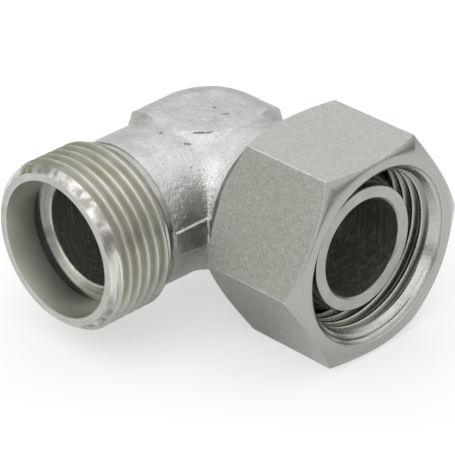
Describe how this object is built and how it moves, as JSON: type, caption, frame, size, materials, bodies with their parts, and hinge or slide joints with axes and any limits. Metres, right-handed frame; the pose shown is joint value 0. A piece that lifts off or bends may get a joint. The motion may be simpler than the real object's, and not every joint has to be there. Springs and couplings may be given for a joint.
{
  "type": "swivel nut elbow fitting",
  "caption": "Forged ninety degree steel elbow for hydraulic tube, with a male thread and 24 degree cone on one leg and a free-turning hexagon nut round a sealing cone on the other.",
  "frame": {"origin": "where the axes of the two legs cross, the point that centre-to-face sizes are given from", "axes": "-Y out of the male end along its axis, +X out of the swivel nut along its axis, +Z normal to the plane of the two legs"},
  "size_m": [0.0545, 0.056, 0.0362],
  "materials": {
    "body_steel": "zinc plated, forged surfaces rough, ends turned",
    "nut_steel": "zinc plated, satin",
    "wire_steel": "drawn wire",
    "seal_rubber": "matte"
  },
  "bodies": {
    "elbow": {"elbow_body": "body_steel", "nut_retaining_wire": "wire_steel", "cone_seal_ring": "seal_rubber"},
    "nut": {"swivel_nut": "nut_steel"}
  },
  "joints": [
    {"name": "nut_spin", "type": "hinge", "parent": "elbow", "child": "nut", "pos_m": [0.029, 0, 0], "axis": [1, 0, 0], "continuous": true}
  ]
}
